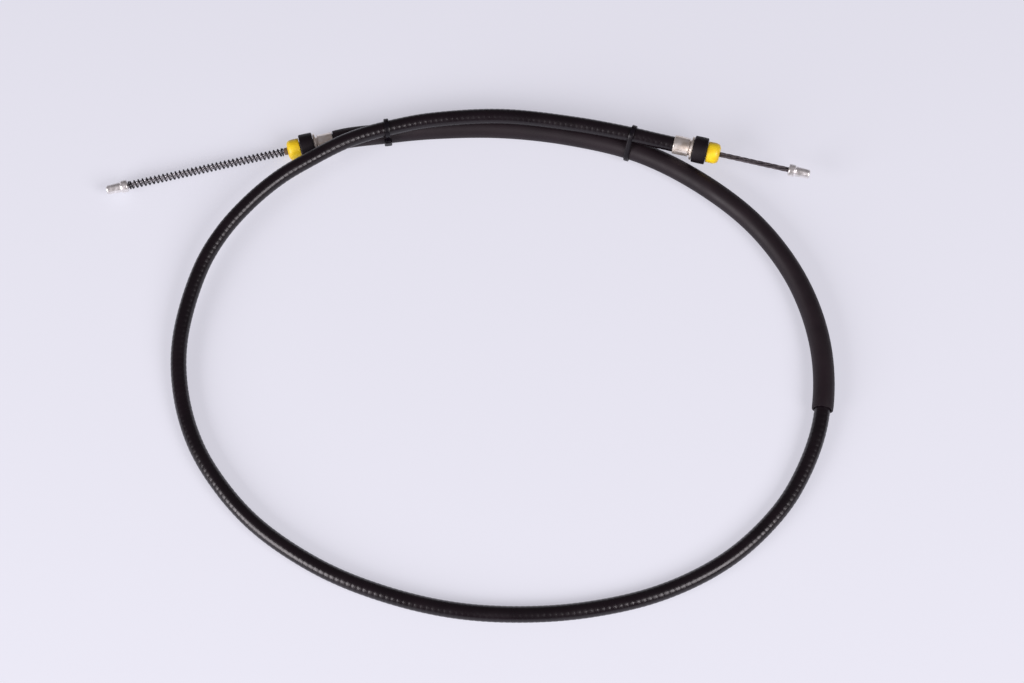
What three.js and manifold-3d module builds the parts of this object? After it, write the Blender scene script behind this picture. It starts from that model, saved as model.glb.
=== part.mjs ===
// Parking brake cable, in millimetres, +Z up.
// A conduit lies in one loop on the plane z = 0, held by two zip ties. An inner cable slides
// through it. Each end has a crimped ferrule, a rubber ring, a plastic cap and a pressed-on
// nipple. A return spring sits on the inner cable at the wheel end, and a loose sleeve covers
// the conduit next to that end.
import * as THREE from "three";
import { mergeVertices } from "three/addons/utils/BufferGeometryUtils.js";
import Module from "manifold-3d";

const wasm = await Module();
wasm.setup();

// Clearances
const SEAT_GAP = 0.3; // between pieces that touch or nest
const LAYER_GAP = 0.25; // between the layers of the conduit
const RUNNING_GAP = 0.3; // around the sliding inner cable

// Inner cable and conduit, from the inside out
const CABLE_D = 3.0;
const LINER_WALL = 0.4;
const ARMOUR_WALL = 0.8;
const JACKET_WALL = 1.0;

// Protective sleeve
const SLEEVE_GAP = 0.5;
const SLEEVE_WALL = 1.1;
const SLEEVE_START = 0.5; // from the wheel end ferrule's mouth to the sleeve
const SLEEVE_LENGTH = 390;

// Ferrule
const CRIMP_LENGTH = 9.1;
const CRIMP_WALL = 0.7;
const CRIMP_CHAMFER = 0.3;
const SOCKET_END_WALL = 0.9; // between the conduit's cut end and the groove
const GROOVE_WIDTH = 1.2;
const GROOVE_DEPTH = 0.9;
const FLANGE_D = 13.6;
const FLANGE_WIDTH = 1.2;
const FLANGE_ROOT = 0.15; // how far the groove's wall leans in under the flange
const STEM_D = 7.8;
const STEM_IN_CAP = 5.2;

// Rubber ring and cap
const RING_D = 15.8;
const RING_LENGTH = 8.0;
const RING_CHAMFER = 0.4;
const CAP_D = 12.3;
const CAP_END_WALL = 2.0;
const CAP_ROUND = 2.4; // radius of the cap's domed edge
const CAP_ROUND_STEPS = 3;
const LINER_TIP = 2.0; // how far the liner stands out of the wheel end cap

// Nipple
const COLLAR_D = 7.2;
const COLLAR_LENGTH = 4.2;
const SHANK_D = 5.8;
const SHANK_LENGTH = 8.5;
const SHANK_TAPER = 0.3; // how much thinner in radius the shank is at its tip
const NIPPLE_CHAMFER = 0.5;
const CABLE_END_RECESS = 0.3;

// Inner cable at rest
const LEVER_CABLE_OUT = 41.0; // bare cable between the lever end cap and its nipple
const TRAVEL = 30.0; // stroke of the inner cable
const STUB_SPARE = 8.0; // cable left inside the lever end cap at full stroke

// Return spring
const SPRING_WIRE_D = 0.8;
const SPRING_PLAY = 0.25; // between the spring and the inner cable
const SPRING_LENGTH = 93.0;
const SPRING_TURNS = 39;
const SPRING_WIRE_SIDES = 5;
const SPRING_TURN_STEPS = 7;

// Zip ties
const TIE_WIDTH = 3.2;
const TIE_THICKNESS = 1.1;
const TIE_HEAD_LENGTH = 5.0;
const TIE_HEAD_HEIGHT = 3.4;
const TIE_HEAD_WIDTH = 4.6;
const LEFT_TIE_AT = 32; // distance of each tie from the wheel end ferrule's mouth
const RIGHT_TIE_AT = 178;

// Route of the conduit's centre line from the wheel end ferrule's mouth, through the sleeve,
// round the loop and over the sleeve to the lever end ferrule's mouth
const ROUTE = [
  [-77, 138, 8.2],
  [-68, 140.2, 8.28],
  [-52, 142.6, 7.95],
  [-19, 146.9, 7.0],
  [23, 147.8, 6.6],
  [65, 142.1, 7.1],
  [105, 130.4, 7.6],
  [141, 109.7, 7.0],
  [172, 81.4, 6.4],
  [194, 44.5, 6.2],
  [204, 2, 6.2],
  [200.5, -41, 5.8],
  [184.5, -78.5, 4.5],
  [166, -102, 4.5],
  [142.5, -121.5, 4.5],
  [109, -138, 4.5],
  [72, -147, 4.5],
  [34.5, -150, 4.5],
  [-3, -147.5, 4.5],
  [-40, -138.5, 4.5],
  [-75, -124, 4.5],
  [-108, -102, 4.5],
  [-130, -79, 4.5],
  [-147, -52, 4.5],
  [-157, -21, 5.2],
  [-159, 11, 7.1],
  [-150, 52, 10.3],
  [-138.5, 75, 12.3],
  [-122.5, 95, 14.2],
  [-106, 109.8, 16],
  [-88, 121.4, 17.3],
  [-70.5, 131.2, 18.4],
  [-58, 136.5, 18.5],
  [-39, 142.2, 18.4],
  [-18.5, 146.6, 18.1],
  [23, 149.4, 17.6],
  [65.5, 144.05, 17.9],
  [99, 136.9, 17.9],
  [114.3, 133.35, 17.0],
  [124, 130.85, 17.0],
];
const LOOP_STEP = 26; // longest facet of the conduit along its length
const BEND_STEP = 13; // the same in the tight bend where the conduit climbs over the sleeve
const BEND_FROM = 325; // the tight bend, as distances back from the lever end ferrule's mouth
const BEND_TO = 165;
const END_STEP = 9; // the facet next to each ferrule
const TUBE_SIDES = 10;
const SLEEVE_SIDES = 12;
const CABLE_SIDES = 8;
const FERRULE_SEGMENTS = 20;
const RING_SEGMENTS = 24;
const CAP_SEGMENTS = 20;
const NIPPLE_SEGMENTS = 16;
const TIE_CURVE_SEGMENTS = 8;
const SEARCH_STEPS = 400; // places tried along the conduit to find the one nearest to a tie

// Sizes that follow from those above
const CABLE_R = CABLE_D / 2;
const LINER_BORE_R = CABLE_R + RUNNING_GAP;
const LINER_R = LINER_BORE_R + LINER_WALL;
const ARMOUR_BORE_R = LINER_R + LAYER_GAP;
const ARMOUR_R = ARMOUR_BORE_R + ARMOUR_WALL;
const JACKET_BORE_R = ARMOUR_R + LAYER_GAP;
const JACKET_R = JACKET_BORE_R + JACKET_WALL;
const SLEEVE_BORE_R = JACKET_R + SLEEVE_GAP;
const SLEEVE_R = SLEEVE_BORE_R + SLEEVE_WALL;
const SOCKET_DEPTH = CRIMP_LENGTH - SOCKET_END_WALL;
const CRIMP_R = JACKET_R + SEAT_GAP + CRIMP_WALL;

// Places along a fitting's own axis: 0 is the ferrule's mouth, and + points away from the conduit
const GROOVE_AT = CRIMP_LENGTH;
const FLANGE_AT = GROOVE_AT + GROOVE_WIDTH;
const STEM_AT = FLANGE_AT + FLANGE_WIDTH;
const RING_AT = STEM_AT + SEAT_GAP;
const CAP_AT = RING_AT + RING_LENGTH + SEAT_GAP;
const STEM_END = CAP_AT + STEM_IN_CAP;
const CAP_END = STEM_END + SEAT_GAP + CAP_END_WALL;
const NIPPLE_LENGTH = COLLAR_LENGTH + SHANK_LENGTH;
const WHEEL_LINER_END = CAP_END + LINER_TIP;
const SPRING_AT = WHEEL_LINER_END + SEAT_GAP;
const WHEEL_NIPPLE_AT = SPRING_AT + SPRING_LENGTH + SEAT_GAP;
const LEVER_LINER_END = CAP_END - CAP_END_WALL / 2;
const LEVER_NIPPLE_AT = CAP_END + LEVER_CABLE_OUT;
const LEVER_STUB_START = CAP_END - STUB_SPARE - TRAVEL;
const WHEEL_STUB_START = LEVER_STUB_START + TRAVEL;

// Materials
const material = (color, roughness, metalness) =>
  new THREE.MeshStandardMaterial({ color, roughness, metalness });
const blackPlastic = () => material(0x17171a, 0.35, 0);
const sleevePlastic = () => material(0x241f22, 0.6, 0);
const rubber = () => material(0x1b1719, 0.8, 0);
const yellowPlastic = () => material(0xf2cf1d, 0.45, 0);
const zinc = () => material(0xcfc8be, 0.35, 1);
const brightSteel = () => material(0xd4d2d0, 0.25, 1);
const darkSteel = () => material(0x3b3538, 0.5, 1);
const springSteel = () => material(0x2a2730, 0.45, 1);
const linerPlastic = () => material(0x6b5a45, 0.5, 0);
const nylon = () => material(0x121214, 0.5, 0);

// The centre line: straight inside each fitting, and the route's smooth curve between them
const route = new THREE.CatmullRomCurve3(ROUTE.map((p) => new THREE.Vector3(...p)), false, "centripetal");
route.arcLengthDivisions = 2000;
const ROUTE_LENGTH = route.getLength();

function tangentAt(s) {
  return route.getTangentAt(THREE.MathUtils.clamp(s / ROUTE_LENGTH, 0, 1));
}

function pointAt(s) {
  const inside = THREE.MathUtils.clamp(s, 0, ROUTE_LENGTH);
  return route.getPointAt(inside / ROUTE_LENGTH).addScaledVector(tangentAt(s), s - inside);
}

// The place on the conduit's upper stretch that a tie round the sleeve also holds
function conduitTieAt(sleeveAt) {
  const centre = pointAt(sleeveAt);
  const from = ROUTE_LENGTH - BEND_FROM;
  const places = Array.from({ length: SEARCH_STEPS + 1 }, (_, i) => from + (BEND_FROM * i) / SEARCH_STEPS);
  return places.reduce((best, s) =>
    pointAt(s).distanceTo(centre) < pointAt(best).distanceTo(centre) ? s : best,
  );
}

// Distances where every layer has a station: the ends of the bends and the places of the ties
const BEND_START = ROUTE_LENGTH - BEND_FROM;
const BEND_END = ROUTE_LENGTH - BEND_TO;
const MARKS = [
  0,
  END_STEP,
  LEFT_TIE_AT,
  RIGHT_TIE_AT,
  SLEEVE_START + SLEEVE_LENGTH,
  BEND_START,
  conduitTieAt(LEFT_TIE_AT),
  BEND_END,
  conduitTieAt(RIGHT_TIE_AT),
  ROUTE_LENGTH - END_STEP,
  ROUTE_LENGTH,
].sort((a, b) => a - b);

// Stations between two distances along the centre line, the same ones for every layer
function stations(from, to) {
  const all = MARKS.slice(0, -1).flatMap((start, i) => {
    const step = start >= BEND_START && start < BEND_END ? BEND_STEP : LOOP_STEP;
    const span = MARKS[i + 1] - start;
    const count = Math.ceil(span / step);
    return Array.from({ length: count }, (_, k) => start + (span * k) / count);
  });
  const between = [...all, ROUTE_LENGTH].filter((s) => s > from + 1 && s < to - 1);
  return [from, ...between, to];
}

// A run of stations as a curve: station i sits at parameter i / (number of steps)
class StationRun extends THREE.Curve {
  constructor(distances) {
    super();
    this.points = distances.map(pointAt);
    this.tangents = distances.map(tangentAt);
  }

  blend(list, u) {
    const place = u * (list.length - 1);
    const low = Math.min(Math.floor(place), list.length - 2);
    return list[low].clone().lerp(list[low + 1], place - low);
  }

  getPoint(u) {
    return this.blend(this.points, u);
  }

  getPointAt(u) {
    return this.getPoint(u);
  }

  getTangentAt(u) {
    return this.blend(this.tangents, u).normalize();
  }
}

function polygon(radius, sides) {
  return Array.from({ length: sides }, (_, i) => {
    const angle = (2 * Math.PI * i) / sides;
    return new THREE.Vector2(radius * Math.cos(angle), radius * Math.sin(angle));
  });
}

// A tube or rod along the centre line between two distances; a bore of 0 makes it solid
function run(radius, bore, from, to, sides) {
  const section = new THREE.Shape(polygon(radius, sides));
  if (bore > 0) section.holes.push(new THREE.Path(polygon(bore, sides).reverse()));
  const distances = stations(from, to);
  return new THREE.ExtrudeGeometry(section, {
    steps: distances.length - 1,
    extrudePath: new StationRun(distances),
  });
}

// A turned piece: the closed profile of [radius, place] pairs goes round the fitting's axis, local +X
function turned(profile, segments) {
  const points = profile.map(([r, x]) => new THREE.Vector2(r, x));
  points.push(points[0].clone());
  return new THREE.LatheGeometry(points, segments).rotateZ(-Math.PI / 2);
}

// Profile of a quarter round from a side of radius outerR to an end face at endAt
function roundedEdge(outerR, endAt, radius, steps) {
  return Array.from({ length: steps + 1 }, (_, i) => {
    const angle = (Math.PI / 2) * (i / steps);
    return [outerR - radius * (1 - Math.cos(angle)), endAt - radius * (1 - Math.sin(angle))];
  });
}

function ferrule() {
  const socketR = JACKET_R + SEAT_GAP;
  const grooveR = CRIMP_R - GROOVE_DEPTH;
  const boreR = LINER_R + SEAT_GAP;
  const stemR = STEM_D / 2;
  return turned(
    [
      [socketR, 0],
      [CRIMP_R - CRIMP_CHAMFER, 0],
      [CRIMP_R, CRIMP_CHAMFER],
      [CRIMP_R, GROOVE_AT],
      [grooveR, GROOVE_AT],
      [grooveR, FLANGE_AT + FLANGE_ROOT],
      [CRIMP_R + FLANGE_ROOT, FLANGE_AT],
      [FLANGE_D / 2, FLANGE_AT],
      [FLANGE_D / 2, STEM_AT],
      [stemR, STEM_AT],
      [stemR, STEM_END],
      [boreR, STEM_END],
      [boreR, SOCKET_DEPTH],
      [socketR, SOCKET_DEPTH],
    ],
    FERRULE_SEGMENTS,
  );
}

function ring() {
  const outerR = RING_D / 2;
  const boreR = STEM_D / 2 + SEAT_GAP;
  const end = RING_AT + RING_LENGTH;
  return turned(
    [
      [boreR, RING_AT],
      [outerR - RING_CHAMFER, RING_AT],
      [outerR, RING_AT + RING_CHAMFER],
      [outerR, end - RING_CHAMFER],
      [outerR - RING_CHAMFER, end],
      [boreR, end],
    ],
    RING_SEGMENTS,
  );
}

function cap() {
  const seatR = STEM_D / 2 + SEAT_GAP;
  const holeR = LINER_R + SEAT_GAP;
  const floorAt = STEM_END + SEAT_GAP;
  return turned(
    [
      [seatR, CAP_AT],
      [CAP_D / 2, CAP_AT],
      ...roundedEdge(CAP_D / 2, CAP_END, CAP_ROUND, CAP_ROUND_STEPS),
      [holeR, CAP_END],
      [holeR, floorAt],
      [seatR, floorAt],
    ],
    CAP_SEGMENTS,
  );
}

function nipple(at) {
  const boreR = CABLE_R + SEAT_GAP;
  const collarR = COLLAR_D / 2;
  const shankR = SHANK_D / 2;
  const tipR = shankR - SHANK_TAPER;
  const shankAt = at + COLLAR_LENGTH;
  const end = at + NIPPLE_LENGTH;
  return turned(
    [
      [boreR, at],
      [collarR - NIPPLE_CHAMFER, at],
      [collarR, at + NIPPLE_CHAMFER],
      [collarR, shankAt - NIPPLE_CHAMFER],
      [shankR, shankAt],
      [tipR, end - NIPPLE_CHAMFER],
      [tipR - NIPPLE_CHAMFER, end],
      [boreR, end],
    ],
    NIPPLE_SEGMENTS,
  );
}

// A straight end of the inner cable, from inside the fitting to just short of the nipple's face
function cableEnd(from, nippleAt) {
  const length = nippleAt + NIPPLE_LENGTH - CABLE_END_RECESS - from;
  const rod = new THREE.CylinderGeometry(CABLE_R, CABLE_R, length, CABLE_SIDES);
  return rod.rotateZ(-Math.PI / 2).translate(from + length / 2, 0, 0);
}

// The return spring's wire: a helix round local +X
class Helix extends THREE.Curve {
  getPoint(t) {
    const meanR = CABLE_R + SPRING_PLAY + SPRING_WIRE_D / 2;
    const angle = 2 * Math.PI * SPRING_TURNS * t;
    const x = SPRING_AT + SPRING_WIRE_D / 2 + (SPRING_LENGTH - SPRING_WIRE_D) * t;
    return new THREE.Vector3(x, meanR * Math.cos(angle), meanR * Math.sin(angle));
  }
}

function returnSpring() {
  const section = new THREE.Shape(polygon(SPRING_WIRE_D / 2, SPRING_WIRE_SIDES));
  return new THREE.ExtrudeGeometry(section, {
    steps: SPRING_TURNS * SPRING_TURN_STEPS,
    extrudePath: new Helix(),
  });
}

// Outline of a belt round two circles, the first at the origin and the second at x = apart
function beltPath(PathClass, firstR, secondR, apart) {
  const angle = Math.acos((firstR - secondR) / apart);
  const path = new PathClass();
  path.absarc(0, 0, firstR, angle, 2 * Math.PI - angle, false);
  path.absarc(apart, 0, secondR, -angle, angle, false);
  path.closePath();
  return path;
}

function toManifold(geometry) {
  const clean = geometry.clone();
  clean.deleteAttribute("normal");
  clean.deleteAttribute("uv");
  const merged = mergeVertices(clean, 1e-4);
  return new wasm.Manifold(
    new wasm.Mesh({
      numProp: 3,
      vertProperties: new Float32Array(merged.attributes.position.array),
      triVerts: new Uint32Array(merged.index.array),
    }),
  );
}

function fromManifold(solid) {
  const mesh = solid.getMesh();
  const geometry = new THREE.BufferGeometry();
  geometry.setAttribute("position", new THREE.BufferAttribute(new Float32Array(mesh.vertProperties), 3));
  geometry.setIndex(new THREE.BufferAttribute(new Uint32Array(mesh.triVerts), 1));
  geometry.computeVertexNormals();
  return geometry;
}

// A zip tie round the sleeve and the conduit above it. Its head sits in the middle of one of the
// belt's two flat flanks: the one inside the loop where side is 1, the one outside where it is -1.
// The tie's own frame has x towards the conduit and z along the sleeve.
function zipTie(name, sleeveAt, side) {
  const sleeveCentre = pointAt(sleeveAt);
  const along = tangentAt(sleeveAt);
  const across = pointAt(conduitTieAt(sleeveAt)).sub(sleeveCentre);
  across.addScaledVector(along, -across.dot(along));
  const apart = across.length();
  across.normalize();

  const firstR = SLEEVE_R + SEAT_GAP;
  const secondR = JACKET_R + SEAT_GAP;
  const belt = beltPath(THREE.Shape, firstR + TIE_THICKNESS, secondR + TIE_THICKNESS, apart);
  belt.holes.push(beltPath(THREE.Path, firstR, secondR, apart));
  const band = new THREE.ExtrudeGeometry(belt, {
    depth: TIE_WIDTH,
    bevelEnabled: false,
    curveSegments: TIE_CURVE_SEGMENTS,
  }).translate(0, 0, -TIE_WIDTH / 2);

  const flank = side * Math.acos((firstR - secondR) / apart);
  const reach = firstR + TIE_HEAD_HEIGHT / 2;
  const middle = -side * Math.sin(Math.abs(flank)) * (apart / 2);
  const head = new THREE.BoxGeometry(TIE_HEAD_HEIGHT, TIE_HEAD_LENGTH, TIE_HEAD_WIDTH)
    .translate(reach, middle, 0)
    .rotateZ(flank);

  const joined = fromManifold(toManifold(band).add(toManifold(head)));
  const mesh = new THREE.Mesh(joined, nylon());
  mesh.name = name;
  mesh.position.copy(sleeveCentre);
  mesh.quaternion.setFromRotationMatrix(
    new THREE.Matrix4().makeBasis(across, new THREE.Vector3().crossVectors(along, across), along),
  );
  return mesh;
}

function piece(name, geometry, look) {
  const mesh = new THREE.Mesh(geometry, look);
  mesh.name = name;
  return mesh;
}

// A fitting's group: its local +X is the fitting's axis, pointing away from the conduit
function fitting(mouth, outward) {
  const group = new THREE.Group();
  group.position.copy(mouth);
  group.quaternion.setFromUnitVectors(new THREE.Vector3(1, 0, 0), outward);
  return group;
}

const wheelEnd = fitting(pointAt(0), tangentAt(0).negate());
wheelEnd.add(
  piece("wheel_end_ferrule", ferrule(), zinc()),
  piece("wheel_end_ring", ring(), rubber()),
  piece("wheel_end_cap", cap(), yellowPlastic()),
  piece("wheel_end_cable", cableEnd(WHEEL_STUB_START, WHEEL_NIPPLE_AT), darkSteel()),
  piece("wheel_end_nipple", nipple(WHEEL_NIPPLE_AT), brightSteel()),
  piece("return_spring", returnSpring(), springSteel()),
);

const leverEnd = fitting(pointAt(ROUTE_LENGTH), tangentAt(ROUTE_LENGTH));
leverEnd.add(
  piece("lever_end_ferrule", ferrule(), zinc()),
  piece("lever_end_ring", ring(), rubber()),
  piece("lever_end_cap", cap(), yellowPlastic()),
  piece("lever_end_cable", cableEnd(LEVER_STUB_START, LEVER_NIPPLE_AT), darkSteel()),
  piece("lever_end_nipple", nipple(LEVER_NIPPLE_AT), brightSteel()),
);

// The conduit's layers and the stretch of inner cable that stays inside it
const socketed = SOCKET_DEPTH - SEAT_GAP;
const middleFrom = -LEVER_STUB_START + SEAT_GAP;
const conduit = new THREE.Group();
conduit.add(
  piece(
    "conduit_jacket",
    run(JACKET_R, JACKET_BORE_R, -socketed, ROUTE_LENGTH + socketed, TUBE_SIDES),
    blackPlastic(),
  ),
  piece(
    "conduit_armour",
    run(ARMOUR_R, ARMOUR_BORE_R, -socketed, ROUTE_LENGTH + socketed, TUBE_SIDES),
    springSteel(),
  ),
  piece(
    "conduit_liner",
    run(LINER_R, LINER_BORE_R, -WHEEL_LINER_END, ROUTE_LENGTH + LEVER_LINER_END, TUBE_SIDES),
    linerPlastic(),
  ),
  piece(
    "inner_cable_middle",
    run(CABLE_R, 0, middleFrom, ROUTE_LENGTH - middleFrom, CABLE_SIDES),
    darkSteel(),
  ),
  piece(
    "protective_sleeve",
    run(SLEEVE_R, SLEEVE_BORE_R, SLEEVE_START, SLEEVE_START + SLEEVE_LENGTH, SLEEVE_SIDES),
    sleevePlastic(),
  ),
);

const cable = new THREE.Group();
cable.add(
  wheelEnd,
  leverEnd,
  conduit,
  zipTie("zip_tie_left", LEFT_TIE_AT, 1),
  zipTie("zip_tie_right", RIGHT_TIE_AT, -1),
);

export default cable;
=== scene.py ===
"""Looks of a parking brake cable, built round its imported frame. Metres, +Z up.

The conduit lies in one loop on the floor. Each end has a crimped ferrule, a rubber ring, a yellow
cap and a nipple. The wheel end also has the return spring, and a loose sleeve covers the conduit
next to it. Two zip ties hold the loop together.
"""

import math

import bpy
import numpy as np
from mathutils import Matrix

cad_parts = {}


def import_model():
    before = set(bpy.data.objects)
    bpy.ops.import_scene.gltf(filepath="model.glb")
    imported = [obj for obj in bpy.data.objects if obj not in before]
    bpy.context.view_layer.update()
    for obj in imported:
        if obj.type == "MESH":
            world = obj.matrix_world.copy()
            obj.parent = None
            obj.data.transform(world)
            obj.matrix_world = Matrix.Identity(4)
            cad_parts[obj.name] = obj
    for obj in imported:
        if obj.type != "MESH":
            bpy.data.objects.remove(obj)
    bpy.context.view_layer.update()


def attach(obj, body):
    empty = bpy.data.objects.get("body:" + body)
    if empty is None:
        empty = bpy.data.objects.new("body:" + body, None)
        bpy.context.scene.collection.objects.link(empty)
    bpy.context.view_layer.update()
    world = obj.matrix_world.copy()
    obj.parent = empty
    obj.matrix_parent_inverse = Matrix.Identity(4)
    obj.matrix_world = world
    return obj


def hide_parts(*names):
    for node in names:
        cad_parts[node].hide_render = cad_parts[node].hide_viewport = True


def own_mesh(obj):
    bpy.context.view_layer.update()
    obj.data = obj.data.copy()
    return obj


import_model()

MM = 0.001

# Sizes in millimetres, the same as the solids
CABLE_R = 1.5
LINER_BORE_R, LINER_R = 1.8, 2.2
ARMOUR_BORE_R, ARMOUR_R = 2.45, 3.25
JACKET_BORE_R, JACKET_R = 3.5, 4.5
SLEEVE_BORE_R, SLEEVE_R = 5.0, 6.1
SLEEVE_START, SLEEVE_END = 0.5, 390.5
SOCKET_DEPTH = 8.2
SEAT_GAP = 0.3
CRIMP_R, CRIMP_END = 5.5, 9.1
GROOVE_R = 4.6
FLANGE_R, FLANGE_AT, STEM_AT = 6.8, 10.3, 11.5
STEM_R, STEM_END, FERRULE_BORE_R = 3.9, 25.3, 2.5
RING_R, RING_AT, RING_END, RING_BORE_R = 7.9, 11.8, 19.8, 4.2
CAP_R, CAP_AT, CAP_FLOOR, CAP_END = 6.15, 20.1, 25.6, 27.6
WHEEL_LINER_END, LEVER_LINER_END = 29.6, 26.6
SPRING_AT, SPRING_END, SPRING_WIRE_R, SPRING_R = 29.9, 122.9, 0.4, 2.15
SPRING_TURNS = 39
WHEEL_NIPPLE_AT, LEVER_NIPPLE_AT = 123.2, 68.6
NIPPLE_LENGTH, COLLAR_LENGTH, COLLAR_R, SHANK_R, NIPPLE_BORE_R = 12.7, 4.2, 3.6, 2.9, 1.8
WHEEL_STUB_START, LEVER_STUB_START = 19.6, -10.4
TIE_WIDTH, TIE_THICKNESS = 2.7, 1.0
TIE_HEAD_HEIGHT, TIE_HEAD_LENGTH, TIE_HEAD_WIDTH = 3.4, 5.0, 4.6
LEFT_TIE_AT, RIGHT_TIE_AT = 32.0, 178.0
UPPER_STRETCH = 325.0

# The conduit's centre line from the wheel end ferrule's mouth to the lever end ferrule's mouth
ROUTE = MM * np.array(
    [
        [-77, 138, 8.2],
        [-68, 140.2, 8.28],
        [-52, 142.6, 7.95],
        [-19, 146.9, 7.0],
        [23, 147.8, 6.6],
        [65, 142.1, 7.1],
        [105, 130.4, 7.6],
        [141, 109.7, 7.0],
        [172, 81.4, 6.4],
        [194, 44.5, 6.2],
        [204, 2, 6.2],
        [200.5, -41, 5.8],
        [184.5, -78.5, 4.5],
        [166, -102, 4.5],
        [142.5, -121.5, 4.5],
        [109, -138, 4.5],
        [72, -147, 4.5],
        [34.5, -150, 4.5],
        [-3, -147.5, 4.5],
        [-40, -138.5, 4.5],
        [-75, -124, 4.5],
        [-108, -102, 4.5],
        [-130, -79, 4.5],
        [-147, -52, 4.5],
        [-157, -21, 5.2],
        [-159, 11, 7.1],
        [-150, 52, 10.3],
        [-138.5, 75, 12.3],
        [-122.5, 95, 14.2],
        [-106, 109.8, 16],
        [-88, 121.4, 17.3],
        [-70.5, 131.2, 18.4],
        [-58, 136.5, 18.5],
        [-39, 142.2, 18.4],
        [-18.5, 146.6, 18.1],
        [23, 149.4, 17.6],
        [65.5, 144.05, 17.9],
        [99, 136.9, 17.9],
        [114.3, 133.35, 17.0],
        [124, 130.85, 17.0],
    ]
)

# Camera
CAMERA_ELEVATION = math.radians(66)
CAMERA_DISTANCE = 1.09
CAMERA_AIM = (0.029, 0.0115, 0.0)
CAMERA_LENS = 67.18


def place_camera():
    data = bpy.data.cameras.new("camera")
    data.sensor_width = 36
    data.lens = CAMERA_LENS
    camera = bpy.data.objects.new("camera", data)
    bpy.context.scene.collection.objects.link(camera)
    x, y, z = CAMERA_AIM
    camera.location = (
        x,
        y - CAMERA_DISTANCE * math.cos(CAMERA_ELEVATION),
        z + CAMERA_DISTANCE * math.sin(CAMERA_ELEVATION),
    )
    camera.rotation_euler = (math.pi / 2 - CAMERA_ELEVATION, 0, 0)
    bpy.context.scene.camera = camera


place_camera()


# Shapes


SHARP_CUT = 0.12  # mm taken off an edge that is left plain
FAN_UV_R = 0.002  # radius of a closing fan on the UV map


def unit(vectors):
    return vectors / np.linalg.norm(vectors, axis=-1, keepdims=True)


def smooth_line(points, per_span=60):
    """A centripetal Catmull-Rom curve through the points: on each span a cubic that meets both
    ends with slopes taken from the neighbours, weighted by the square roots of the distances."""
    ends = np.vstack([2 * points[0] - points[1], points, 2 * points[-1] - points[-2]])
    gap = np.sqrt(np.linalg.norm(np.diff(ends, axis=0), axis=1))[:, None]
    before, start, end, after = ends[:-3], ends[1:-2], ends[2:-1], ends[3:]
    g0, g1, g2 = gap[:-2], gap[1:-1], gap[2:]
    slope_in = ((start - before) / g0 - (end - before) / (g0 + g1) + (end - start) / g1) * g1
    slope_out = ((end - start) / g1 - (after - start) / (g1 + g2) + (after - end) / g2) * g1
    u = (np.arange(per_span) / per_span)[None, :, None]
    start, end, slope_in, slope_out = (a[:, None] for a in (start, end, slope_in, slope_out))
    cubic = (
        (2 * start - 2 * end + slope_in + slope_out) * u**3
        + (-3 * start + 3 * end - 2 * slope_in - slope_out) * u**2
        + slope_in * u
        + start
    )
    return np.vstack([cubic.reshape(-1, 3), points[-1:]])


LINE = smooth_line(ROUTE)
LINE_AT = np.concatenate([[0], np.cumsum(np.linalg.norm(np.diff(LINE, axis=0), axis=1))])
CONDUIT_LENGTH = LINE_AT[-1]
START_DIRECTION = unit(LINE[1] - LINE[0])
END_DIRECTION = unit(LINE[-1] - LINE[-2])


def place(s):
    """Points of the centre line at distances s, and straight on beyond both ferrules' mouths."""
    s = np.asarray(s, float)
    inside = np.stack([np.interp(s, LINE_AT, LINE[:, k]) for k in range(3)], -1)
    back = np.minimum(s, 0)[..., None] * START_DIRECTION
    on = np.maximum(s - CONDUIT_LENGTH, 0)[..., None] * END_DIRECTION
    return inside + back + on


def frames(s, reach=0.4 * MM):
    """Points, directions, and the two crosswise unit vectors (level and upward) at distances s."""
    direction = unit(place(s + reach) - place(s - reach))
    level = unit(np.cross(direction, [0, 0, 1.0]))
    return place(s), direction, level, np.cross(level, direction)


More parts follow.
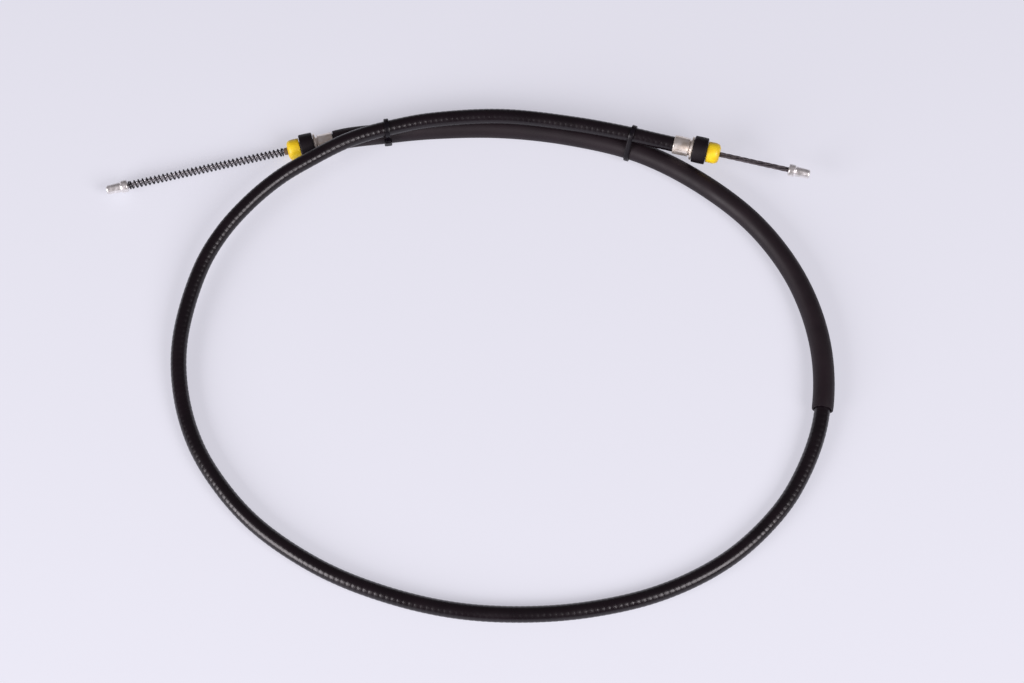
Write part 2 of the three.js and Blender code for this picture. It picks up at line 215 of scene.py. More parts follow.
def surface(name, grid, closed_rows, uv_rows=None, sharp=40):
    """A mesh over grid[row, column]: a quad between each point and its neighbours, all the way
    round the columns. Rows that aren't closed end in fans to the middle of the first and last row.
    UV map "place" holds the column's share across, and uv_rows, a length in metres, along. Edges
    are sharp past an angle in degrees."""
    rows, columns = grid.shape[:2]
    if uv_rows is None:
        steps = np.linalg.norm(np.diff(grid.mean(1), axis=0), axis=1)
        uv_rows = np.concatenate([[0], np.cumsum(steps)])
    i, j = np.meshgrid(
        np.arange(rows if closed_rows else rows - 1), np.arange(columns), indexing="ij"
    )
    after_i, after_j = (i + 1) % rows, (j + 1) % columns
    row, next_row = i * columns, after_i * columns
    quads = np.stack([row + j, row + after_j, next_row + after_j, next_row + j], -1).reshape(-1, 4)
    ends = np.append(uv_rows, 2 * uv_rows[-1] - uv_rows[-2])
    across = np.stack([j, j + 1, j + 1, j], -1).reshape(-1, 4) / columns
    along = np.stack([ends[i], ends[i], ends[i + 1], ends[i + 1]], -1).reshape(-1, 4)
    points = grid.reshape(-1, 3)
    faces, uv = quads.tolist(), np.stack([across, along], -1).reshape(-1, 2)
    if not closed_rows:
        j = np.arange(columns)
        first, last = len(points), len(points) + 1
        base = (rows - 1) * columns
        fans = [
            np.stack([(j + 1) % columns, j, np.full(columns, first)], -1),
            np.stack([base + j, base + (j + 1) % columns, np.full(columns, last)], -1),
        ]
        faces += np.vstack(fans).tolist()
        points = np.vstack([points, grid[0].mean(0), grid[-1].mean(0)])
        turn = 2 * np.pi * np.arange(columns) / columns
        rim = np.stack([np.cos(turn), np.sin(turn)], -1) * FAN_UV_R
        fan_uv = np.stack([np.roll(rim, -1, 0), rim, 0 * rim], 1).reshape(-1, 2)
        uv = np.vstack([uv, fan_uv, fan_uv])
    mesh = bpy.data.meshes.new(name)
    mesh.from_pydata(points.tolist(), [], faces)
    layer = mesh.uv_layers.new(name="place")
    layer.data.foreach_set("uv", uv.astype(np.float32).ravel())
    mesh.update()
    corners = points[np.array([f[:3] for f in faces])]
    volume = np.einsum("ij,ij->i", corners[:, 0], np.cross(corners[:, 1], corners[:, 2])).sum()
    if volume < 0:
        mesh.flip_normals()
    mesh.shade_smooth()
    mesh.set_sharp_from_angle(angle=math.radians(sharp))
    piece = bpy.data.objects.new(name, mesh)
    bpy.context.scene.collection.objects.link(piece)
    return piece


def tube(name, start, end, radius, bore, step, sides, ribs=None, bore_step=3.0):
    """A hose along the centre line: round sections of the outer radius going out, then of the
    bore coming back, joined at both cut ends. ribs(s, turn) is taken off the outer radius."""
    out = np.linspace(start, end, int(round((end - start) / step)) + 1)
    back = np.linspace(end, start, int(round((end - start) / bore_step)) + 1)
    s = np.concatenate([out, back]) * MM
    turn = 2 * np.pi * np.arange(sides) / sides
    r = np.concatenate([np.full(len(out), radius), np.full(len(back), bore)])[:, None] + 0 * turn
    r[[0, len(out) - 1]] -= SHARP_CUT
    if ribs is not None:
        r[: len(out)] -= ribs(out[:, None], turn[None, :])
    centre, _, level, upward = frames(s)
    c, q = np.cos(turn)[None, :, None], np.sin(turn)[None, :, None]
    wheel = c * level[:, None] + q * upward[:, None]
    return surface(name, centre[:, None] + MM * r[..., None] * wheel, True, uv_rows=s)


def fitting(s):
    """Origin and axes of a fitting at one mouth of the conduit: outward, level and upward."""
    outward = -START_DIRECTION if s == 0 else END_DIRECTION
    level = unit(np.cross(outward, [0, 0, 1.0]))
    return place(s), outward, level, np.cross(level, outward)


WHEEL_END = fitting(0.0)
LEVER_END = fitting(CONDUIT_LENGTH)


def softened(profile, cut, steps=4):
    """The closed profile with each corner swapped for a quadratic curve between two points on its
    sides, each at the distance cut from the corner or at 45% of the side where that is less."""
    corner = np.array(profile, float)
    before, after = np.roll(corner, 1, 0) - corner, np.roll(corner, -1, 0) - corner
    long_in = np.linalg.norm(before, axis=1, keepdims=True)
    long_out = np.linalg.norm(after, axis=1, keepdims=True)
    cut = np.broadcast_to(np.asarray(cut, float), len(corner))[:, None]
    start = corner + before / long_in * np.minimum(cut, 0.45 * long_in)
    end = corner + after / long_out * np.minimum(cut, 0.45 * long_out)
    u = np.linspace(0, 1, steps + 1)[None, :, None]
    curve = (1 - u) ** 2 * start[:, None] + 2 * u * (1 - u) * corner[:, None] + u**2 * end[:, None]
    return curve.reshape(-1, 2)


def turned(name, end, profile, cut, segments=72, shaped=None):
    """A turned piece: each point (radius, place) of the closed profile goes round the fitting's
    axis. shaped(radius, place, turn) gives the radius where the piece isn't quite round."""
    origin, outward, level, upward = end
    line = softened(profile, cut)
    turn = 2 * np.pi * np.arange(segments) / segments
    radius = line[:, :1] + 0 * turn
    if shaped is not None:
        radius = shaped(radius, line[:, 1:], turn[None, :])
    wheel = np.cos(turn)[:, None] * level + np.sin(turn)[:, None] * upward
    grid = origin + MM * (line[:, 1, None, None] * outward + radius[..., None] * wheel)
    lengths = np.linalg.norm(np.diff(line, axis=0), axis=1)
    return surface(name, grid, True, uv_rows=MM * np.concatenate([[0], np.cumsum(lengths)]))


CRIMP_FLATS, CRIMP_FLAT_DEPTH = 8, 0.16
CRIMP_OVAL_DEPTH = 0.04
FADE_AT_MOUTH, FADE_AT_GROOVE = 1.2, 1.0


def crimped(radius, at, turn):
    """Shallow flats of the crimping die, a cosine round the axis that fades out towards both ends
    of the crimp, and a slight three-sided oval."""
    on_crimp = (radius > CRIMP_R - 0.2) & (at < CRIMP_END + 0.1)
    fade = np.clip(at / FADE_AT_MOUTH, 0, 1) * np.clip((CRIMP_END - at) / FADE_AT_GROOVE, 0, 1)
    flats = CRIMP_FLAT_DEPTH * (0.5 + 0.5 * np.cos(CRIMP_FLATS * turn)) * fade
    flats = flats + CRIMP_OVAL_DEPTH * np.cos(3 * turn + 1)
    return np.where(on_crimp, radius - flats, radius)


def ferrule(name, end):
    """A crimped socket for the conduit, a groove, a flange and the stem of ring and cap."""
    profile = [
        (JACKET_R + SEAT_GAP, 0),
        (CRIMP_R - 0.3, 0),
        (CRIMP_R, 0.3),
        (CRIMP_R, 1.4),
        (CRIMP_R, 4.5),
        (CRIMP_R, 7.8),
        (CRIMP_R, CRIMP_END),
        (GROOVE_R, CRIMP_END),
        (GROOVE_R, FLANGE_AT + 0.15),
        (CRIMP_R + 0.15, FLANGE_AT),
        (FLANGE_R, FLANGE_AT),
        (FLANGE_R, STEM_AT),
        (STEM_R, STEM_AT),
        (STEM_R, STEM_END),
        (FERRULE_BORE_R, STEM_END),
        (FERRULE_BORE_R, SOCKET_DEPTH),
        (JACKET_R + SEAT_GAP, SOCKET_DEPTH),
    ]
    return turned(name, end, profile, 0.14, 96, crimped)


def ring(name, end):
    """A thick rubber ring whose rim is slightly crowned."""
    middle = (RING_AT + RING_END) / 2
    profile = [
        (RING_BORE_R, RING_AT),
        (RING_R - 0.1, RING_AT),
        (RING_R, middle),
        (RING_R - 0.1, RING_END),
        (RING_BORE_R, RING_END),
    ]
    return turned(name, end, profile, [0.2, 0.7, 2.5, 0.7, 0.2])


def cap(name, end):
    """A cup over the stem with a domed end and a hole for the inner cable."""
    profile = [
        (RING_BORE_R, CAP_AT),
        (CAP_R, CAP_AT),
        (CAP_R, CAP_END - 2.6),
        (CAP_R - 0.75, CAP_END - 0.8),
        (CAP_R - 2.4, CAP_END),
        (FERRULE_BORE_R, CAP_END),
        (FERRULE_BORE_R, CAP_FLOOR),
        (RING_BORE_R, CAP_FLOOR),
    ]
    return turned(name, end, profile, [0.1, 0.3, 1.6, 1.2, 1.2, 0.2, 0.1, 0.1])


SHANK_FLATS, SHANK_FLAT_DEPTH = 6, 0.09


def pressed(radius, at, turn):
    """Shallow flats pressed into the shank, a cosine round the axis. Bore and collar stay round."""
    flats = SHANK_FLAT_DEPTH * (0.5 + 0.5 * np.cos(SHANK_FLATS * turn))
    on_shank = (radius < SHANK_R + 0.2) & (radius > NIPPLE_BORE_R + 0.4)
    return radius - np.where(on_shank, flats, 0)


def nipple(name, end, at):
    """A collar and a round shank that narrows to its tip."""
    tip = at + NIPPLE_LENGTH
    profile = [
        (NIPPLE_BORE_R, at),
        (COLLAR_R - 0.5, at),
        (COLLAR_R, at + 0.5),
        (COLLAR_R, at + COLLAR_LENGTH - 0.5),
        (SHANK_R, at + COLLAR_LENGTH),
        (SHANK_R - 0.1, at + 8.0),
        (SHANK_R - 0.3, tip - 0.6),
        (SHANK_R - 0.9, tip),
        (NIPPLE_BORE_R, tip),
    ]
    return turned(name, end, profile, [0.1, 0.3, 0.4, 0.4, 0.5, 2, 0.5, 0.4, 0.1], 72, pressed)


STRANDS = 6
STRAND_R = CABLE_R / 3
LAY = 27.0  # mm of cable for one turn of a strand


def stranded(centre, level, upward, s, name):
    """A cable of six strands round a core: the outline of six touching circles, r = c cos a +
    root of (q squared - c squared times sin a squared), turned once per lay along the cable."""
    share = np.linspace(-1, 1, 12, endpoint=False)
    angle = np.tile(share * np.pi / STRANDS, STRANDS)
    circle = 2 * STRAND_R
    inside = np.maximum(STRAND_R**2 - (circle * np.sin(angle)) ** 2, 0)
    radius = circle * np.cos(angle) + np.sqrt(inside)
    turn = angle + np.repeat(np.arange(STRANDS), len(share)) * 2 * np.pi / STRANDS
    turn = turn[None, :] + (2 * np.pi * s / LAY)[:, None]
    wheel = np.cos(turn)[..., None] * level + np.sin(turn)[..., None] * upward
    grid = centre + MM * radius[None, :, None] * wheel
    return surface(name, grid, False, uv_rows=s * MM, sharp=50)


def cable_end(name, end, start, nipple_at):
    """The straight end of the inner cable, from inside its cap to the nipple's tip."""
    origin, outward, level, upward = end
    s = np.linspace(start, nipple_at + NIPPLE_LENGTH - SEAT_GAP, 200)
    centre = origin + MM * s[:, None, None] * outward
    return stranded(centre, level, upward, s, name)


def hidden_cable(name):
    """The middle of the inner cable, which stays inside the conduit."""
    inset = SEAT_GAP - LEVER_STUB_START
    s = np.linspace(inset, CONDUIT_LENGTH / MM - inset, 700)
    centre, _, level, upward = frames(s * MM)
    return stranded(centre[:, None], level[:, None], upward[:, None], s, name)


CLOSED_TURNS = 1.1  # turns at each end that lie against each other
CLOSED_PITCH = 1.06  # their pitch, in wire thicknesses


def spring(name):
    """The return spring: a round wire along a helix. The pitch is that of the open coils except
    in the first and last turn, which close against the ends."""
    origin, outward, level, upward = WHEEL_END
    turns = np.linspace(0, SPRING_TURNS, SPRING_TURNS * 28 + 1)
    open_turns = np.clip(turns, CLOSED_TURNS, SPRING_TURNS - CLOSED_TURNS) - CLOSED_TURNS
    shut_turns = turns - open_turns
    shut_pitch = 2 * SPRING_WIRE_R * CLOSED_PITCH
    span = SPRING_END - SPRING_AT - 2 * SPRING_WIRE_R - shut_pitch * shut_turns[-1]
    x = SPRING_AT + SPRING_WIRE_R + shut_pitch * shut_turns + span * open_turns / open_turns[-1]
    angle = -2 * np.pi * turns
    line = np.stack([x, SPRING_R * np.cos(angle), SPRING_R * np.sin(angle)], -1)
    along = unit(np.gradient(line, axis=0))
    away = np.stack([0 * angle, np.cos(angle), np.sin(angle)], -1)
    sideways = unit(np.cross(along, away))
    turn = 2 * np.pi * np.arange(10) / 10
    c, q = np.cos(turn)[None, :, None], np.sin(turn)[None, :, None]
    local = line[:, None] + SPRING_WIRE_R * (c * away[:, None] + q * sideways[:, None])
    x, y, z = local[..., :1], local[..., 1:2], local[..., 2:]
    grid = origin + MM * (x * outward + y * level + z * upward)
    wire_length = np.concatenate([[0], np.cumsum(np.linalg.norm(np.diff(line, axis=0), axis=1))])
    return surface(name, grid, False, uv_rows=MM * wire_length)


def tie_frame(s):
    """Where a tie sits: the sleeve's centre, the way to the conduit above it, the way across,
    the sleeve's direction, and the distance between the two centre lines."""
    centre, direction, _, _ = (a[0] for a in frames(np.array([s * MM])))
    upper = np.linspace(CONDUIT_LENGTH - UPPER_STRETCH * MM, CONDUIT_LENGTH, 2000)
    points = place(upper)
    nearest = points[np.argmin(np.linalg.norm(points - centre, axis=1))] - centre
    nearest -= nearest.dot(direction) * direction
    towards = unit(nearest)
    return centre, towards, np.cross(direction, towards), direction, np.linalg.norm(nearest) / MM


def rounded_section(height, width, count=28, power=5.0):
    """A rectangle with rounded corners: a superellipse, |x/a|^p + |y/b|^p = 1."""
    turn = 2 * np.pi * np.arange(count) / count
    c, q = np.cos(turn), np.sin(turn)
    scale = (np.abs(c) ** power + np.abs(q) ** power) ** (-1 / power)
    return height / 2 * c * scale, width / 2 * q * scale


def tie_band(name, s):
    """A belt round the sleeve and the conduit: two arcs and the straights between them, with a
    rounded rectangular section carried along it."""
    centre, towards, across, direction, apart = tie_frame(s)
    first, second = SLEEVE_R + SEAT_GAP, JACKET_R + SEAT_GAP
    lean = math.acos((first - second) / apart)
    first_steps, second_steps = 48, 40
    round_first = np.linspace(lean, 2 * np.pi - lean, first_steps)
    angle = np.concatenate([round_first, np.linspace(-lean, lean, second_steps)])
    on_first = np.arange(len(angle)) < first_steps
    radius = np.where(on_first, first, second) + TIE_THICKNESS / 2
    shift = np.where(on_first, 0, apart)
    outward = np.cos(angle)[:, None] * towards + np.sin(angle)[:, None] * across
    line = centre + MM * (shift[:, None] * towards + radius[:, None] * outward)
    thick, wide = rounded_section(TIE_THICKNESS, TIE_WIDTH)
    section = thick[None, :, None] * outward[:, None] + wide[None, :, None] * direction
    return surface(name, line[:, None] + MM * section, True)


def rounded_block(name, centre, axes, sizes, power=7.0):
    """A block with rounded edges: rounded rectangles along its first axis, which shrink near both
    ends by the same superellipse rule as their corners."""
    along, height_axis, width_axis = axes
    u = np.sin(np.linspace(-np.pi / 2, np.pi / 2, 26)) * 0.9999
    shrink = (1 - np.abs(u) ** power) ** (1 / power)
    high, wide = rounded_section(sizes[1], sizes[2], 32, power)
    grid = centre + MM * (
        (u * sizes[0] / 2)[:, None, None] * along
        + (shrink[:, None] * high)[..., None] * height_axis
        + (shrink[:, None] * wide)[..., None] * width_axis
    )
    return surface(name, grid, False)


TAIL_LENGTH, TAIL_LIFT = 1.6, 0.55


def tie_head(name, s, side):
    """The tie's locking head in the middle of one flank of the belt, and the cut tail in it."""
    centre, towards, across, direction, apart = tie_frame(s)
    first, second = SLEEVE_R + SEAT_GAP, JACKET_R + SEAT_GAP
    lean = side * math.acos((first - second) / apart)
    outward = math.cos(lean) * towards + math.sin(lean) * across
    along = np.cross(direction, outward)
    middle = -side * math.sin(abs(lean)) * apart / 2
    at = centre + MM * ((first + TIE_HEAD_HEIGHT / 2) * outward + middle * along)
    axes = (along, outward, direction)
    head = rounded_block(name, at, axes, (TIE_HEAD_LENGTH, TIE_HEAD_HEIGHT, TIE_HEAD_WIDTH))
    tail_at = at + MM * (TAIL_LIFT * outward - side * (TIE_HEAD_LENGTH / 2) * along)
    tail_sizes = (TAIL_LENGTH, TIE_THICKNESS, TIE_WIDTH)
    tail = rounded_block(name.replace("head", "tail"), tail_at, axes, tail_sizes)
    return head, tail


# Materials


def add(tree, kind, **settings):
    """A new node of a kind, with its settings."""
    made = tree.nodes.new(kind)
    for key, value in settings.items():
        setattr(made, key, value)
    return made


def join(tree, source, target):
    tree.links.new(source, target)


def group(name, inputs, outputs):
    """An empty node group with named float, vector and colour sockets."""
    tree = bpy.data.node_groups.new(name, "ShaderNodeTree")
    for socket, kind in inputs.items():
        tree.interface.new_socket(name=socket, in_out="INPUT", socket_type=f"NodeSocket{kind}")
    for socket, kind in outputs.items():
        tree.interface.new_socket(name=socket, in_out="OUTPUT", socket_type=f"NodeSocket{kind}")
    return tree, add(tree, "NodeGroupInput"), add(tree, "NodeGroupOutput")


def uneven_group():
    """Noise at a scale, mapped to a value between Low and High."""
    tree, into, out = group(
        "uneven",
        {"Vector": "Vector", "Scale": "Float", "Low": "Float", "High": "Float"},
        {"Value": "Float"},
    )
    noise = add(tree, "ShaderNodeTexNoise")
    noise.inputs["Detail"].default_value = 4
    spread = add(tree, "ShaderNodeMapRange")
    spread.inputs["From Min"].default_value = 0.3
    spread.inputs["From Max"].default_value = 0.7
    join(tree, into.outputs["Vector"], noise.inputs["Vector"])
    join(tree, into.outputs["Scale"], noise.inputs["Scale"])
    join(tree, noise.outputs["Fac"], spread.inputs["Value"])
    join(tree, into.outputs["Low"], spread.inputs["To Min"])
    join(tree, into.outputs["High"], spread.inputs["To Max"])
    join(tree, spread.outputs["Result"], out.inputs["Value"])
    return tree


def two_tone_group():
    """Two colours mixed by noise, over a span of Soft on both sides of its middle."""
    tree, into, out = group(
        "two_tone",
        {
            "Vector": "Vector",
            "Scale": "Float",
            "First": "Color",
            "Second": "Color",
            "Soft": "Float",
        },
        {"Color": "Color"},
    )
    noise = add(tree, "ShaderNodeTexNoise")
    noise.inputs["Detail"].default_value = 5
    low = add(tree, "ShaderNodeMath", operation="SUBTRACT")
    low.inputs[0].default_value = 0.5
    high = add(tree, "ShaderNodeMath", operation="ADD")
    high.inputs[0].default_value = 0.5
    spread = add(tree, "ShaderNodeMapRange")
    mix = add(tree, "ShaderNodeMix", data_type="RGBA")
    join(tree, into.outputs["Vector"], noise.inputs["Vector"])
    join(tree, into.outputs["Scale"], noise.inputs["Scale"])
    join(tree, into.outputs["Soft"], low.inputs[1])
    join(tree, into.outputs["Soft"], high.inputs[1])
    join(tree, noise.outputs["Fac"], spread.inputs["Value"])
    join(tree, low.outputs[0], spread.inputs["From Min"])
    join(tree, high.outputs[0], spread.inputs["From Max"])
    join(tree, spread.outputs["Result"], mix.inputs["Factor"])
    join(tree, into.outputs["First"], mix.inputs["A"])
    join(tree, into.outputs["Second"], mix.inputs["B"])
    join(tree, mix.outputs["Result"], out.inputs["Color"])
    return tree


def grain_group():
    """Fine grain and longer marks along one way, mixed to a height by Share."""
    tree, into, out = group(
        "grain",
        {"Vector": "Vector", "Fine": "Float", "Marks": "Vector", "Share": "Float"},
        {"Height": "Float"},
    )
    fine = add(tree, "ShaderNodeTexNoise")
    fine.inputs["Detail"].default_value = 3
    marks = add(tree, "ShaderNodeTexNoise")
    marks.inputs["Scale"].default_value = 1
    marks.inputs["Detail"].default_value = 3
    mix = add(tree, "ShaderNodeMix", data_type="FLOAT")
    join(tree, into.outputs["Vector"], fine.inputs["Vector"])
    join(tree, into.outputs["Fine"], fine.inputs["Scale"])
    join(tree, into.outputs["Marks"], marks.inputs["Vector"])
    join(tree, into.outputs["Share"], mix.inputs["Factor"])
    join(tree, fine.outputs["Fac"], mix.inputs["A"])
    join(tree, marks.outputs["Fac"], mix.inputs["B"])
    join(tree, mix.outputs["Result"], out.inputs["Height"])
    return tree


UNEVEN = uneven_group()
TWO_TONE = two_tone_group()
GRAIN = grain_group()


FINE_GRAIN = 900.0  # scale of the fine grain, per metre
BUMP_HEIGHT = 0.0001  # metres


def finish_material(
    name,
    colours,
    roughness,
    metallic=0.0,
    tone_scale=60.0,
    soft=0.15,
    rough_scale=90.0,
    marks=(20.0, 300.0),
    share=0.5,
    bump=0.1,
    specular=0.5,
):
    """One finish: two tones mixed by noise, an uneven roughness, and a bump of fine grain and of
    marks stretched over the UV map. marks gives their number round the piece and per metre along
    it, share how much they count beside the grain."""
    material = bpy.data.materials.new(name)
    material.use_nodes = True
    tree = material.node_tree
    shader = tree.nodes["Principled BSDF"]
    where = add(tree, "ShaderNodeTexCoord")
    on_surface = add(tree, "ShaderNodeUVMap", uv_map="place")
    stretch = add(tree, "ShaderNodeMapping")
    stretch.inputs["Scale"].default_value = (*marks, 1)
    join(tree, on_surface.outputs["UV"], stretch.inputs["Vector"])
    tone = add(tree, "ShaderNodeGroup", node_tree=TWO_TONE)
    tone.inputs["Scale"].default_value = tone_scale
    tone.inputs["Soft"].default_value = soft
    tone.inputs["First"].default_value = (*colours[0], 1)
    tone.inputs["Second"].default_value = (*colours[1], 1)
    join(tree, where.outputs["Object"], tone.inputs["Vector"])
    join(tree, tone.outputs["Color"], shader.inputs["Base Color"])
    rough = add(tree, "ShaderNodeGroup", node_tree=UNEVEN)
    rough.inputs["Scale"].default_value = rough_scale
    rough.inputs["Low"].default_value, rough.inputs["High"].default_value = roughness
    join(tree, where.outputs["Object"], rough.inputs["Vector"])
    join(tree, rough.outputs["Value"], shader.inputs["Roughness"])
    grain = add(tree, "ShaderNodeGroup", node_tree=GRAIN)
    grain.inputs["Fine"].default_value = FINE_GRAIN
    grain.inputs["Share"].default_value = share
    join(tree, where.outputs["Object"], grain.inputs["Vector"])
    join(tree, stretch.outputs["Vector"], grain.inputs["Marks"])
    raised = add(tree, "ShaderNodeBump")
    raised.inputs["Strength"].default_value = bump
    raised.inputs["Distance"].default_value = BUMP_HEIGHT
    join(tree, grain.outputs["Height"], raised.inputs["Height"])
    join(tree, raised.outputs["Normal"], shader.inputs["Normal"])
    shader.inputs["Metallic"].default_value = metallic
    shader.inputs["Specular IOR Level"].default_value = specular
    return material


CONDUIT_PLASTIC = finish_material(
    "conduit plastic",
    [(0.0036, 0.0014, 0.0030), (0.0058, 0.0024, 0.0046)],
    (0.25, 0.34),
    marks=(14, 60),
    bump=0.08,
    specular=0.44,
)
SLEEVE_PLASTIC = finish_material(
    "sleeve plastic",
    [(0.0082, 0.0042, 0.0066), (0.0118, 0.0064, 0.0094)],
    (0.50, 0.60),
    marks=(40, 12),
    share=0.7,
    bump=0.18,
    specular=0.32,
)
RING_RUBBER = finish_material(
    "ring rubber",
    [(0.0030, 0.0015, 0.0026), (0.0062, 0.0032, 0.0054)],
    (0.46, 0.62),
    marks=(30, 200),
    bump=0.25,
    specular=0.26,
)
ZINC = finish_material(
    "zinc plate",
    [(0.76, 0.67, 0.57), (0.97, 0.92, 0.86)],
    (0.30, 0.48),
    metallic=0.86,
    tone_scale=220,
    soft=0.12,
    rough_scale=300,
    marks=(24, 700),
    share=0.6,
    bump=0.3,
)
NIPPLE_STEEL = finish_material(
    "nipple steel",
    [(0.74, 0.72, 0.70), (0.95, 0.93, 0.92)],
    (0.28, 0.44),
    metallic=0.84,
    tone_scale=400,
    rough_scale=400,
    marks=(4, 5000),
    share=0.8,
    bump=0.25,
)
CABLE_STEEL = finish_material(
    "cable steel",
    [(0.075, 0.066, 0.072), (0.150, 0.132, 0.140)],
    (0.35, 0.5),
    metallic=0.85,
    tone_scale=500,
    marks=(120, 900),
    share=0.8,
    bump=0.4,
)
BRIGHT_CABLE = finish_material(
    "bright cable steel",
    [(0.46, 0.45, 0.47), (0.74, 0.73, 0.76)],
    (0.3, 0.5),
    metallic=0.9,
    tone_scale=500,
    marks=(120, 900),
    share=0.8,
    bump=0.3,
)
SPRING_WIRE = finish_material(
    "spring wire",
    [(0.0045, 0.0035, 0.0055), (0.0100, 0.0080, 0.0120)],
    (0.34, 0.46),
    tone_scale=300,
    marks=(6, 400),
    bump=0.15,
    specular=0.4,
)
ARMOUR_WIRE = finish_material(
    "armour wire",
    [(0.20, 0.19, 0.18), (0.32, 0.30, 0.29)],
    (0.35, 0.5),
    metallic=1.0,
    marks=(3, 700),
    bump=0.4,
)
LINER_PLASTIC = finish_material(
    "liner plastic",
    [(0.11, 0.075, 0.042), (0.17, 0.115, 0.066)],
    (0.35, 0.5),
    marks=(12, 40),
)
YELLOW_PLASTIC = finish_material(
    "yellow plastic",
    [(0.80, 0.53, 0.008), (0.93, 0.69, 0.020)],
    (0.34, 0.46),
    tone_scale=170,
    soft=0.1,
    marks=(20, 300),
    bump=0.12,
)
TIE_NYLON = finish_material(
    "tie nylon",
    [(0.0022, 0.0014, 0.0030), (0.0050, 0.0032, 0.0062)],
    (0.26, 0.38),
    tone_scale=400,
    marks=(10, 500),
    bump=0.2,
    specular=0.3,
)


# Pieces, the cord first

RIB_PITCH = 3.18
RIB_DEPTH = 0.085
RIB_FADE = 3.0  # mm from the ferrules' mouths over which the ribs die out
SKIN_UNEVEN = 0.03
SLEEVE_UNEVEN = 0.04


def ribs(s, turn):
    """The turns of the flat wire under the skin: narrow shallow grooves along a helix, a cosine
    wave raised to the third power, and a slight unevenness of the skin over a longer way."""
    phase = 2 * np.pi * s / RIB_PITCH + turn
    valley = (0.5 - 0.5 * np.cos(phase)) ** 3
    uneven = SKIN_UNEVEN * (1 + np.sin(s / 17.0 + 2 * np.sin(s / 41.0)) * np.cos(turn + s / 60.0))
    from_end = np.minimum(s, CONDUIT_LENGTH / MM - s)
    covered = np.clip(from_end / RIB_FADE, 0, 1)
    return (RIB_DEPTH * valley + uneven) * covered


def hose_unevenness(s, turn):
    """The soft sleeve isn't quite round or even: a sine along it times a cosine twice round it."""
    wave = np.sin(s / 23.0 + 1.7 * np.sin(s / 57.0)) * np.cos(2 * turn + s / 90.0)
    return SLEEVE_UNEVEN * (1 + wave)


def dress(piece, body, material, slot, *nodes):
    """Gives a new piece its material and body, and hides the solids that it stands for. slot is not
    used.
    """
    piece.data.materials.append(material)
    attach(piece, body)
    if nodes:
        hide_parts(*nodes)
    return piece


LINER_PLAY = 0.2  # keeps the many-sided bore clear of the sliding strands
socketed = SOCKET_DEPTH - SEAT_GAP
length_mm = CONDUIT_LENGTH / MM
skin_span = (-socketed, length_mm + socketed)
skin = tube("conduit_skin", *skin_span, JACKET_R, JACKET_BORE_R, 0.42, 26, ribs)
dress(skin, "conduit", CONDUIT_PLASTIC, "conduit_plastic", "conduit_jacket")

armour = tube("armour_tube", *skin_span, ARMOUR_R, ARMOUR_BORE_R, 4.0, 24)
dress(armour, "conduit", ARMOUR_WIRE, "spring_wire", "conduit_armour")
liner_span = (-WHEEL_LINER_END, length_mm + LEVER_LINER_END)
liner = tube("liner_tube", *liner_span, LINER_R, LINER_BORE_R + LINER_PLAY, 2, 24)
dress(liner, "conduit", LINER_PLASTIC, "liner_plastic", "conduit_liner")
dress(hidden_cable("cable_inside"), "conduit", CABLE_STEEL, "cable_steel", "inner_cable_middle")
hose_span = (SLEEVE_START, SLEEVE_END)
hose = tube("sleeve_hose", *hose_span, SLEEVE_R, SLEEVE_BORE_R, 1.6, 48, hose_unevenness)
dress(hose, "conduit", SLEEVE_PLASTIC, "sleeve_plastic", "protective_sleeve")

for word, end, body, stub, nipple_at, steel in (
    ("wheel", WHEEL_END, "wheel_end", WHEEL_STUB_START, WHEEL_NIPPLE_AT, BRIGHT_CABLE),
    ("lever", LEVER_END, "lever_end", LEVER_STUB_START, LEVER_NIPPLE_AT, CABLE_STEEL),
):
    node = f"{word}_end_"
    dress(ferrule(f"{word}_ferrule", end), "conduit", ZINC, "zinc_plate", node + "ferrule")
    dress(ring(f"{word}_ring", end), "conduit", RING_RUBBER, "ring_rubber", node + "ring")
    dress(cap(f"{word}_cap", end), "conduit", YELLOW_PLASTIC, "yellow_plastic", node + "cap")
    cable = cable_end(f"{word}_cable", end, stub, nipple_at)
    dress(cable, body, steel, "cable_steel", node + "cable")
    pressed_on = nipple(f"{word}_nipple", end, nipple_at)
    dress(pressed_on, body, NIPPLE_STEEL, "nipple_steel", node + "nipple")

coil = dress(spring("coil_spring"), "conduit", SPRING_WIRE, "spring_wire", "return_spring")
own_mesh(coil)

for word, at, side in (("left", LEFT_TIE_AT, 1), ("right", RIGHT_TIE_AT, -1)):
    band = tie_band(f"tie_band_{word}", at)
    dress(band, "conduit", TIE_NYLON, "tie_nylon", f"zip_tie_{word}")
    head, tail = tie_head(f"tie_head_{word}", at, side)
    dress(head, "conduit", TIE_NYLON, "tie_nylon")
    dress(tail, "conduit", TIE_NYLON, "tie_nylon")


# Floor, world and lamps

FLOOR_GLOW = 0.55  # share of the floor's own pale colour, beside its shaded one
FLOOR_HALF = 6.0
LAMP_COLOUR = (1.0, 0.935, 0.98)
LAMP_DISTANCE = 2.2


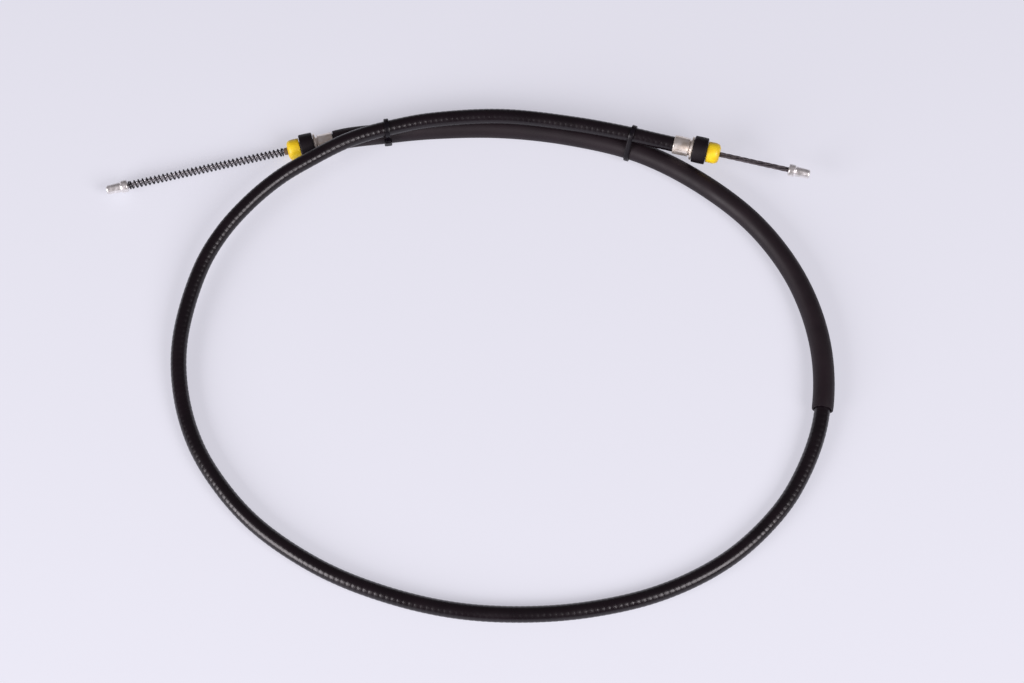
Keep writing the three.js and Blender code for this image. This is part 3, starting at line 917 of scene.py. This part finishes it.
def floor():
    """A plain plane. Where the camera, a mirror or clear plastic sees it, part of its shaded
    colour gives way to a plain pale one, which keeps the shadows light."""
    mesh = bpy.data.meshes.new("floor")
    h = FLOOR_HALF
    mesh.from_pydata([(-h, -h, 0), (h, -h, 0), (h, h, 0), (-h, h, 0)], [], [(0, 1, 2, 3)])
    plane = bpy.data.objects.new("floor", mesh)
    bpy.context.scene.collection.objects.link(plane)
    material = bpy.data.materials.new("floor")
    material.use_nodes = True
    tree = material.node_tree
    shader = tree.nodes["Principled BSDF"]
    shader.inputs["Base Color"].default_value = (0.80, 0.84, 0.895, 1)
    shader.inputs["Roughness"].default_value = 0.9
    shader.inputs["Specular IOR Level"].default_value = 0.1
    pale = add(tree, "ShaderNodeEmission")
    pale.inputs["Color"].default_value = (0.82, 0.805, 0.905, 1)
    path = add(tree, "ShaderNodeLightPath")
    seen = add(tree, "ShaderNodeMath", operation="MAXIMUM")
    join(tree, path.outputs["Is Camera Ray"], seen.inputs[0])
    mirrored = add(tree, "ShaderNodeMath", operation="MAXIMUM")
    join(tree, path.outputs["Is Glossy Ray"], mirrored.inputs[0])
    join(tree, path.outputs["Is Transmission Ray"], mirrored.inputs[1])
    join(tree, mirrored.outputs[0], seen.inputs[1])
    share = add(tree, "ShaderNodeMath", operation="MULTIPLY")
    join(tree, seen.outputs[0], share.inputs[0])
    share.inputs[1].default_value = FLOOR_GLOW
    mix = add(tree, "ShaderNodeMixShader")
    join(tree, share.outputs[0], mix.inputs["Fac"])
    join(tree, shader.outputs["BSDF"], mix.inputs[1])
    join(tree, pale.outputs["Emission"], mix.inputs[2])
    join(tree, mix.outputs["Shader"], tree.nodes["Material Output"].inputs["Surface"])
    mesh.materials.append(material)


def world():
    made = bpy.data.worlds.new("studio")
    made.use_nodes = True
    background = made.node_tree.nodes["Background"]
    background.inputs["Color"].default_value = (1.0, 0.92, 1.0, 1)
    background.inputs["Strength"].default_value = 0.14
    bpy.context.scene.world = made


def lamp(name, azimuth, elevation, size, power):
    """A square soft lamp that faces the part: azimuth is measured from the front, + to the
    right."""
    data = bpy.data.lights.new(name, "AREA")
    data.size = size
    data.energy = power
    data.color = LAMP_COLOUR
    made = bpy.data.objects.new(name, data)
    bpy.context.scene.collection.objects.link(made)
    a, e = math.radians(azimuth), math.radians(elevation)
    made.location = (
        CAMERA_AIM[0] + LAMP_DISTANCE * math.sin(a) * math.cos(e),
        CAMERA_AIM[1] - LAMP_DISTANCE * math.cos(a) * math.cos(e),
        LAMP_DISTANCE * math.sin(e),
    )
    made.rotation_euler = (math.pi / 2 - e, 0, a)


floor()
world()
lamp("front right lamp", 50, 38, 1.15, 36)
lamp("front left lamp", -54, 24, 1.3, 50)

bpy.context.scene.view_settings.view_transform = "Standard"
